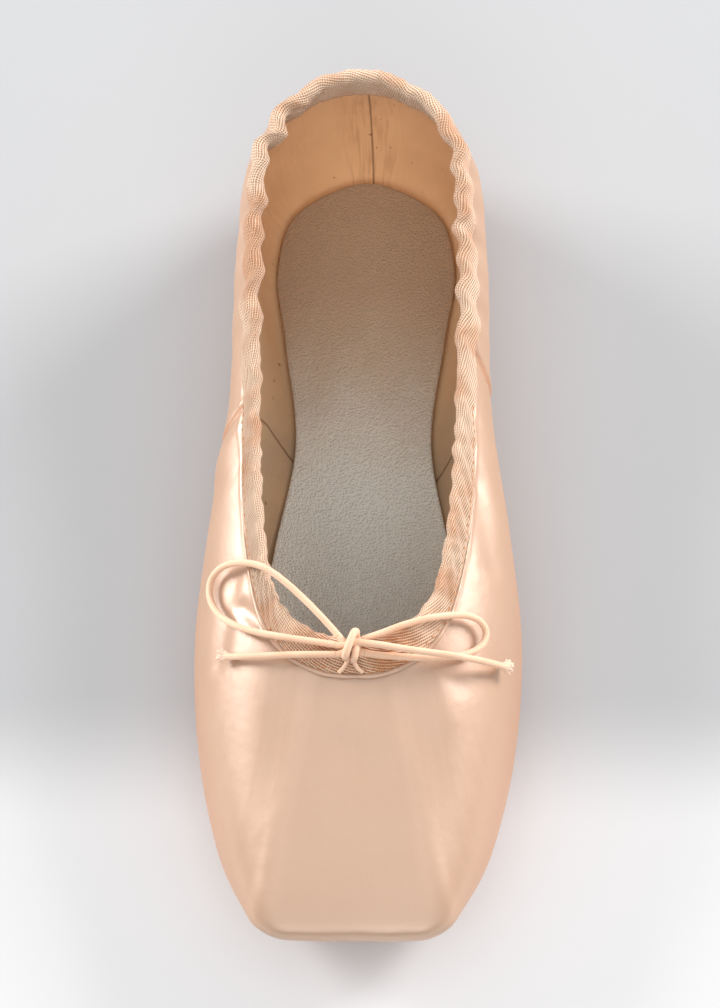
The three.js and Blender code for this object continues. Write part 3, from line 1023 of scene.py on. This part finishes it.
def tapeFinish():
    finish = newFinish("cotton_tape")
    _, along, across = clothPlace(finish)
    shifted = timesPlus(finish, speckle(finish, 90, 2), 0.0016, along)
    ribPitch = tape["ribPitch"] * mm
    yarnPitch = tape["yarnPitch"] * mm
    ribs = wave(finish, shifted, across, ribPitch * 3.2, ribPitch)
    yarns = wave(finish, shifted, across, -yarnPitch, yarnPitch * 3)
    # a small hole wherever two ribs and two yarns leave a gap; it is sunk in the bump and darkened with
    # painted shade
    noRib = less(finish, 1.0, ribs)
    hole = times(finish, noRib, less(finish, 1.0, yarns))
    height = timesPlus(finish, speckle(finish, 2400, 2), 0.25, less(finish, ribs, hole))
    # painted shade in the holes and between the ribs
    paintedShade = timesPlus(finish, ramp(finish, hole, 0.2, 0.7), 0.85, times(finish, noRib, 0.3))
    # painted shade of puckers, in random patches
    paintedShade = calc(finish, "ADD", paintedShade, ramp(finish, speckle(finish, 90, 3), 0.42, 0.72, 0.0, 0.55))
    # painted shade between the ribs at the throat
    paintedShade = timesPlus(finish, measure(finish, "throatShade"), times(finish, noRib, 0.55), paintedShade)
    tint = mixed(finish, paintedShade, tape["pale"], tape["valleyShade"])
    return surface(finish, tint, 0.7, {
        "Sheen Weight": 0.3,
        "Sheen Roughness": 0.5,
        "Specular IOR Level": 0.35,
        "Normal": bump(finish, height, 0.00028, 0.95),
    })


cottonTape = tapeFinish()


def legPoints(around, depths, inside):
    # points of the bare wall at each depth below the topline, and the way out of the wall there
    climb = np.concatenate([[-1.0], np.linspace(0.3, 1, 60)])
    grid = wallGrid(around, climb, inside)[:, 1:]
    facing = normalsOf(grid) * (-1 if inside else 1)
    length = lengths(grid, 1)
    below = (length[:, -1:] - length)[:, ::-1]
    points = np.zeros((*depths.shape, 3))
    ways = np.zeros_like(points)
    for i in range(len(around)):
        for k in range(3):
            points[i, :, k] = np.interp(depths[i], below[i], grid[i, ::-1, k])
            ways[i, :, k] = np.interp(depths[i], below[i], facing[i, ::-1, k])
    return points, unit(ways)


def tapeRipples(around, along, depth):
    # small wrinkles that cross the tape at a slant
    at = oneSide(around)[:, None]
    heel = share(at, 50, 64)
    front = share(at, 34, 24)
    middle = 1 - np.maximum(heel, front)
    fine = 0.2 * np.sin((along + 0.9 * depth) * fullTurn / 4.3 + 1.3 * np.sin(along / 7.1))
    fine *= 1 + 0.5 * np.sin(along / 5.3)
    soft = 0.24 * np.sin((along - 0.5 * depth) * fullTurn / 7.7 + np.sin(along / 9.3))
    return fine * (0.5 * heel + front + 0.6 * middle) + soft * (0.5 * heel + 0.8 * front + 1.1 * middle)


def tapeSurface(around):
    shareOut = np.linspace(1, 0, 13)[None]
    shareIn = np.linspace(0, 1, 12)[None]
    depthsOut = reachOf(around, "outside")[:, None] * shareOut
    depthsIn = reachOf(around, "inside")[:, None] * shareIn
    outPoints, outWays = legPoints(around, depthsOut, False)
    inPoints, inWays = legPoints(around, depthsIn, True)
    hug = tape["slack"] + tape["thick"]
    swellOut = hug + tape["swell"] * (1 - shareOut) ** 0.6
    swellIn = hug + tape["swell"] * (1 - shareIn) ** 0.6
    swellIn = swellIn + reachOf(around, "standOff")[:, None] * shareIn**0.7
    outLeg = outPoints + outWays * swellOut[..., None]
    inLeg = inPoints + inWays * swellIn[..., None]
    middle = (outPoints[:, -1] + inPoints[:, 0]) / 2
    first = outLeg[:, -1] - middle
    last = inLeg[:, 0] - middle
    size = np.linalg.norm(first, axis=1, keepdims=True)
    _, upward, _, _ = edgeFrame(oneSide(around))
    upward = mirrored(upward, around)
    turns = np.linspace(0, math.pi, 11)[1:-1]
    crown = np.stack([middle + first * (1 + math.cos(a)) / 2 + last * (1 - math.cos(a)) / 2
                      + upward * size * 1.05 * math.sin(a) for a in turns], 1)
    outer = np.concatenate([outLeg, crown, inLeg], 1)
    depth = np.concatenate([depthsOut, np.zeros((len(around), len(turns))), depthsIn], 1)
    along = lengths(np.concatenate([outer, outer[:1]]), 0).mean(1)[:-1, None]
    across = lengths(outer, 1)
    facing = normalsOf(outer)
    held = share(np.minimum(across, across[:, -1:] - across), 0, 2.5)  # the sewn edges lie flat
    outer = outer + facing * (tapeRipples(around, along, across) * held)[..., None]
    outer += gatherShift(around, depth)
    return outer


def makeTape():
    around = stations(tape["around"])
    outer = tapeSurface(around)
    inner = outer - normalsOf(outer) * tape["thick"]
    # painted shade at the throat, full at the front middle and gone by place 17
    throatShade = np.repeat(share(oneSide(around), 17, 9)[:, None], outer.shape[1], 1)
    piece = sheetObject("binding_tape", outer, inner, cottonTape, {"throatShade": throatShade})
    finished(piece, "cotton_tape", "binding")
    print("binding tape:", len(piece.data.polygons), "faces")
    return outer


tapeGrid = makeTape()


# rolled satin edge

rolledEdge = {
    "last": 44,  # how far round each side it runs before it goes under the tape
    "taper": 20,  # over how much of that it gets thinner
    "radius": 0.68,
    "flat": 0.8,
}


def frontOrder(around, last):
    # the stations of the front of the opening, in order from the left side to the right
    kept = oneSide(around) <= last
    return np.concatenate([np.flatnonzero(kept & (around > 100)), np.flatnonzero(kept & (around <= 100))])


def makeRolledEdge(tapeGrid, around):
    # the satin's folded edge, which stands up beside the tape round the front of the opening
    last = rolledEdge["last"]
    order = frontOrder(around, last)
    facing = normalsOf(tapeGrid)[order, 0]
    downward = unit(tapeGrid[order, 0] - tapeGrid[order, 1])
    line = tapeGrid[order, 0] + downward * 0.45 + facing * 0.05
    taper = np.maximum(share(oneSide(around[order]), last, last - rolledEdge["taper"]), 0.12)
    ripple = 1 + 0.1 * np.sin(np.arange(len(order)) / 3.1)
    roll = tubeMesh(line, rolledEdge["radius"] * taper * ripple, 14, rolledEdge["flat"])
    piece = joinParts("satin_edge", [roll], peachSatin, ("sideSeam", "heelSeam"))
    finished(piece, "satin")
    print("rolled satin edge made")


makeRolledEdge(tapeGrid, stations(tape["around"]))


# stitches

stitch = {
    "last": 58,  # where the outside row goes under the folds of the quarters
    "pitch": 2.2,
    "length": 1.3,
    "thick": 0.17,
    # from one end of a stitch to the other: how far it stands off the tape, and how thick it is
    "arch": (-0.25, 0.05, 0.14, 0.05, -0.25),
    "full": (0.6, 1, 1, 1, 0.6),
    "pale": colour(226, 176, 136),
    "dark": colour(202, 146, 102),
}


def stitchFinish():
    finish = newFinish("sewing_thread")
    tint = mixed(finish, speckle(finish, 800, 2), stitch["pale"], stitch["dark"])
    return surface(finish, tint, 0.6, {"Sheen Weight": 0.2})


sewingThread = stitchFinish()


def stitchRow(line, facing):
    # small sunk-in stitches along a line of points on a surface
    travelled = running(line)
    count = int(travelled[-1] / stitch["pitch"])
    parts = []
    for k in range(count):
        middle = (k + 0.5) * travelled[-1] / count
        places = middle + np.linspace(-0.5, 0.5, 5) * stitch["length"]
        arch = pointsAt(places, travelled, facing) * np.array(stitch["arch"])[:, None]
        path = pointsAt(places, travelled, line) + arch
        parts.append(tubeMesh(path, stitch["thick"] * np.array(stitch["full"]), 6))
    return parts


def makeStitches():
    facing = normalsOf(tapeGrid)
    front = frontOrder(stations(tape["around"]), stitch["last"])
    whole = np.append(np.arange(tape["around"]), 0)
    rows = stitchRow(tapeGrid[front, 2], facing[front, 2])
    rows += stitchRow(tapeGrid[whole, -2], facing[whole, -2])
    piece = joinParts("tape_stitches", rows, sewingThread)
    finished(piece, "thread")
    print("stitches:", len(rows))


makeStitches()


# insole

insoleOutline = table([  # at, out, back
    (0, 0, 21), (6, 13.2, 22.8), (12, 21, 30), (20, 26, 47.5), (32, 28.2, 74), (48, 23.2, 111),
    (61, 18.2, 141), (74, 21.7, 171), (84, 24.1, 193), (93, 17.6, 210), (100, 0, 217.8),
])
outsoleOutline = table([  # at, out, back
    (0, 0, 27), (7, 13.5, 29.5), (14, 20.6, 39), (24, 24.6, 60), (35, 24.4, 84), (50, 17.6, 114),
    (62, 13.2, 142), (74, 15.6, 169), (85, 18, 192), (93, 13, 205), (100, 0, 211.5),
])

insole = {
    "around": 360,
    "toeLift": 2.6,
    "tufts": 1950,  # to a metre
    "tuft": (0.00017, -0.00024, 0),  # half a tuft aside, in metres: the side the painted light and shade fall on
    # inset, level: the edge from underneath to the top
    "edge": [(2.2, 4.8), (0.5, 5.2), (0, 5.9), (0, 6.8), (0.2, 7.2), (0.6, 7.4), (1.3, 7.45)],
    "grey": colour(250, 252, 244),
    "brown": colour(200, 170, 138),
    "warmFrom": (110, 195),  # distances back from the toe where the brown, in part painted shade from the heel walls, starts and is full
    "dark": colour(158, 145, 126),  # painted shade on one side of each tuft
}
outsole = {
    "around": 300,
    "edge": [(0.4, 2.4), (0, 2.1), (0, 0.6), (0.15, 0.2), (0.5, 0)],
    "channel": [(2.2, 0), (2.5, 0.35), (2.9, 0.35), (3.2, 0)],
    "tan": colour(186, 150, 112),
    "dark": colour(128, 92, 60),
    "scuff": colour(214, 186, 152),
}
faceCap = {
    "wide": (0.9, 0.7, 0.5, 0.3, 0.12, 0),  # how wide each ring is that closes a face of the soles
    "middleLine": (-80, 90),  # y where the line that they close on starts and ends
}


def outlineRing(outline, around):
    # the outline's points, x and y, and the ways in from them
    out, back = outline(oneSide(around))
    ring = np.stack([out[:, 0] * sideOf(around), back[:, 0] + toeEnd], 1)
    run = unit(np.roll(ring, -1, 0) - np.roll(ring, 1, 0))
    return ring, np.stack([-run[:, 1], run[:, 0]], 1)


def evenStops(outline, count):
    # stops that are evenly spaced along the outline's own length
    fine = np.linspace(0, 200, 2001)
    ring, _ = outlineRing(outline, fine[:-1])
    travelled = running(np.concatenate([ring, ring[:1]]))
    return np.interp(np.linspace(0, travelled[-1], count, endpoint=False), travelled, fine)


def capRings(ring):
    # the rings that close a face, from its edge in to its middle line
    centre = np.stack([0 * ring[:, 0], np.clip(ring[:, 1], *faceCap["middleLine"])], 1)
    out = ring[:, :2] - centre
    return [np.column_stack([centre + out * wide, ring[:, 2]]) for wide in faceCap["wide"]]


def slabObject(name, outline, count, edge, finish, lift, turned):
    # rings from one face over the edge to the other
    ring, into = outlineRing(outline, evenStops(outline, count))
    rings = [np.column_stack([ring + into * inset, np.full(count, level)]) for inset, level in edge]
    grid = np.stack(capRings(rings[0])[::-1] + rings + capRings(rings[-1]), 1)
    back = grid[..., 1] - toeEnd
    grid[..., 2] += lift(back)
    faces = gridFaces(count, grid.shape[1], flip=turned)
    place = np.concatenate([grid, grid[:1]])
    uv = gridUv(place[..., 0], place[..., 1])
    if turned:
        uv = turnedUv(uv)
    return makeObject(name, grid.reshape(-1, 3), faces, finish, uv, {"back": back})


def insoleFinish():
    finish = newFinish("napped_insole")
    # the raised nap, with painted light and shade: each tuft is painted light on the side towards the heel
    # and dark on the other
    place = addNode(finish, "TexCoord", {}).outputs["Object"]
    beside = addNode(finish, "Mapping", {"Vector": place, "Location": insole["tuft"]}).outputs[0]
    nap = speckle(finish, insole["tufts"], 2, vector=place, rough=0.6)
    paintedRelief = less(finish, nap, speckle(finish, insole["tufts"], 2, vector=beside, rough=0.6))
    cloud = less(finish, speckle(finish, 34, 3), 0.5)
    # browner towards the heel, in part painted shade from the heel walls, with a random cloud of tone
    warm = timesPlus(finish, cloud, 0.5, ramp(finish, measure(finish, "back"), *insole["warmFrom"]))
    tint = mixed(finish, ramp(finish, warm, 0.0, 1.0), insole["grey"], insole["brown"])
    tint = mixed(finish, ramp(finish, paintedRelief, -0.2, 0.06, 0.52, 0.0), tint, insole["dark"])
    return surface(finish, tint, 0.95, {
        "Sheen Weight": 0.2,
        "Sheen Roughness": 0.6,
        "Specular IOR Level": 0.15,
        "Normal": bump(finish, nap, 0.0013, 0.92),
    })


def outsoleFinish():
    finish = newFinish("sole_leather")
    cloud = ramp(finish, speckle(finish, 40, 4), 0.3, 0.7, 0.0, 0.5)
    tint = mixed(finish, cloud, outsole["tan"], outsole["dark"])
    scuff = ramp(finish, speckle(finish, 300, 2, (1, 0.2, 1)), 0.62, 0.7)
    tint = mixed(finish, times(finish, scuff, 0.25), tint, outsole["scuff"])
    return surface(finish, tint, 0.72, {
        "Specular IOR Level": 0.35,
        "Normal": bump(finish, speckle(finish, 900, 3), 0.0002, 0.5),
    })


def insoleLift(back):
    ripple = 0.08 * np.sin(back / 13) + 0.06 * np.sin(back / 5.3 + 1)
    return insole["toeLift"] * share(back, 60, 0) ** 1.5 + ripple * share(back, 60, 80)


def makeSoles():
    sock = slabObject("insole_sock", insoleOutline, insole["around"], insole["edge"],
                      insoleFinish(), insoleLift, True)
    finished(sock, "insole_nubuck", "insole")
    edge = outsole["edge"] + outsole["channel"]
    sole = slabObject("leather_outsole", outsoleOutline, outsole["around"], edge,
                      outsoleFinish(), np.zeros_like, False)
    finished(sole, "outsole_leather", "outsole")
    print("insole and outsole made")


makeSoles()


# floor and lights

studio = {
    "floorFront": colour(216, 218, 219),
    "floorBack": colour(179, 182, 184),
    "sweep": (-0.080, -0.040),  # where the floor runs over into the grey backdrop, in metres; the front before it is painted light, lifted against the shoe's shadow
    "world": colour(234, 235, 238),
    "worldStrength": 0.62,
    # name, place, width and length, watts, tint
    "lights": [
        ("overhead", (-40, -430, 1260), (1600, 1400), 5.3, colour(255, 253, 252)),
        ("left_soft", (-1320, 690, 500), (640, 1000), 30.0, colour(255, 250, 248)),
        ("right_soft", (1210, 850, 580), (640, 1000), 34.0, colour(255, 249, 247)),
        ("front_fill", (60, -1000, 800), (1100, 500), 2.8, colour(255, 253, 250)),
    ],
}


def makeStudio():
    scene = bpy.context.scene
    scene.view_settings.view_transform = "Standard"
    world = bpy.data.worlds.new("studio")
    world.use_nodes = True
    sky = world.node_tree.nodes["Background"]
    sky.inputs["Color"].default_value = studio["world"]
    sky.inputs["Strength"].default_value = studio["worldStrength"]
    scene.world = world
    finish = newFinish("studio_floor")
    # the floor's front is painted light, lighter than the back to cancel the shoe's shadow; the back takes
    # the backdrop's grey
    sweep = ramp(finish, ownAxis(finish, 1), *studio["sweep"])
    tone = mixed(finish, sweep, studio["floorFront"], studio["floorBack"])
    surface(finish, tone, 0.9, {"Specular IOR Level": 0.2})
    far = 4000
    floor = makeObject("studio_floor", [(-far, -far, 0), (far, -far, 0), (far, far, 0), (-far, far, 0)],
                       [(0, 1, 2, 3)], finish)
    for name, place, (width, length), watts, tint in studio["lights"]:
        data = bpy.data.lights.new(name, "AREA")
        data.shape = "RECTANGLE"
        data.size = width * mm
        data.size_y = length * mm
        data.energy = watts
        data.color = tint[:3]
        lamp = bpy.data.objects.new(name, data)
        scene.collection.objects.link(lamp)
        lamp.location = Vector(place) * mm
        aim = Vector((0, 0, 25 * mm)) - lamp.location
        lamp.rotation_euler = aim.to_track_quat("-Z", "Y").to_euler()
    print("studio lit")


makeStudio()

bpy.context.view_layer.update()
